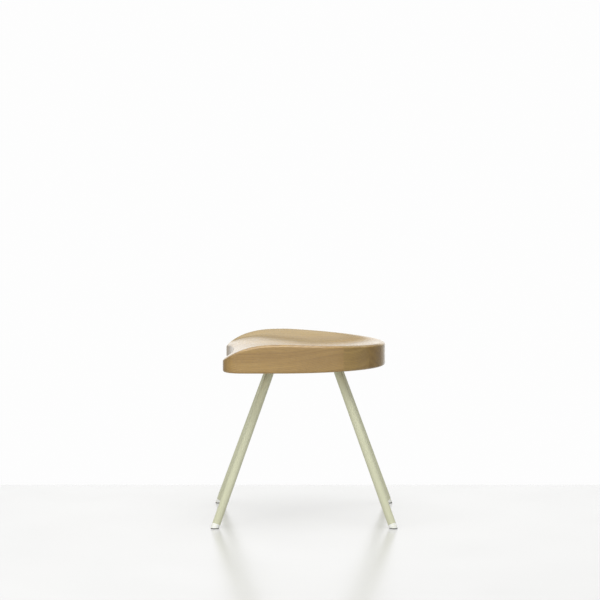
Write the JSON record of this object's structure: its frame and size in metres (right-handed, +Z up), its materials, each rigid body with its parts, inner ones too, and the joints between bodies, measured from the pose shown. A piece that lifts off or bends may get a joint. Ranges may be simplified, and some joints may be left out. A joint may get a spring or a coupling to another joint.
{
  "type": "saddle stool",
  "caption": "Low stool with a thick carved oak saddle seat, scooped open at the front, on splayed round steel tube legs with slanted plastic glides.",
  "frame": {"origin": "on the floor, at the middle of the four feet, which is the bottom centre of the whole stool's box", "axes": "+Z up; -Y towards the open front edge of the seat, +Y towards its raised back; +X to the left of a person who sits on it facing the front"},
  "size_m": [0.444, 0.4552, 0.45],
  "materials": {
    "oak": "satin lacquer, grain front to back",
    "coated_steel": "fine satin powder coat",
    "zinc_steel": "zinc plated",
    "brass": "turned",
    "glide_plastic": "satin",
    "sole_rubber": "matt"
  },
  "bodies": {
    "root": {"seat": "oak", "mounting_plate": "coated_steel", "leg_front_left": "coated_steel", "leg_front_right": "coated_steel", "leg_rear_left": "coated_steel", "leg_rear_right": "coated_steel", "leg_welds": "coated_steel", "threaded_inserts": "brass", "seat_washers": "zinc_steel", "seat_screws": "zinc_steel", "glide_front_left": "glide_plastic", "glide_front_right": "glide_plastic", "glide_rear_left": "glide_plastic", "glide_rear_right": "glide_plastic", "sole_front_left": "sole_rubber", "sole_front_right": "sole_rubber", "sole_rear_left": "sole_rubber", "sole_rear_right": "sole_rubber"}
  },
  "joints": []
}
